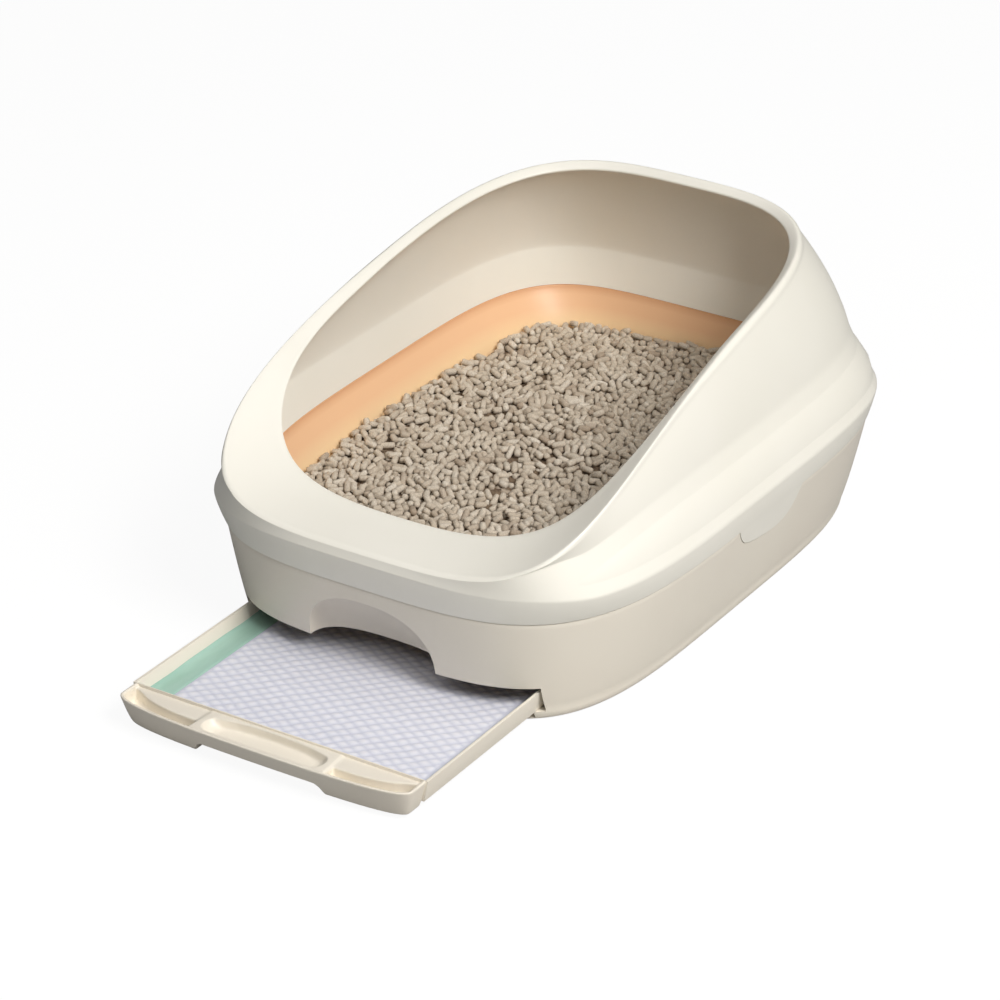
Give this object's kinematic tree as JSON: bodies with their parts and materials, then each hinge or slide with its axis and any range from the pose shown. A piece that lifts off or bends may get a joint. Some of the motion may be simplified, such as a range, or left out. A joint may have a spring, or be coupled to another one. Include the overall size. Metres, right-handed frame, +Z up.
{
  "type": "litter box",
  "caption": "Half-cover litter box: oval tub with a pull-out pad drawer, slotted litter pan with pellets, and a rim cover rising from a low front step to a high back.",
  "frame": {"origin": "centre of the tub's round middle foot, on the floor", "axes": "+X to the right seen from the drawer's side, +Y towards the high back, +Z up; the drawer is pulled out towards -Y"},
  "size_m": [0.4052, 0.6953, 0.2658],
  "materials": {
    "shell_plastic": "satin cream moulding",
    "pan_plastic": "satin orange moulding",
    "pellets": "dull pressed pellets",
    "pad_film": "thin green film",
    "pad_fluff": "soft fluff",
    "pad_cover": "embossed non-woven"
  },
  "bodies": {
    "tub": {"tub": "shell_plastic"},
    "drawer": {"drawer": "shell_plastic", "pad_backsheet": "pad_film", "pad_core": "pad_fluff", "pad_topsheet": "pad_cover"},
    "litter_pan": {"litter_pan": "pan_plastic", "litter_bed": "pellets"},
    "rim_cover": {"rim_cover": "shell_plastic"}
  },
  "joints": [
    {"name": "drawer_slide", "type": "slide", "parent": "tub", "child": "drawer", "axis": [0, -1, 0], "range_m": [-0.16, 0.22]},
    {"name": "pan_lift", "type": "slide", "parent": "tub", "child": "litter_pan", "axis": [0, 0, 1], "range_m": [0, 0.12]},
    {"name": "cover_lift", "type": "slide", "parent": "litter_pan", "child": "rim_cover", "axis": [0, 0, 1], "range_m": [0, 0.08]}
  ]
}
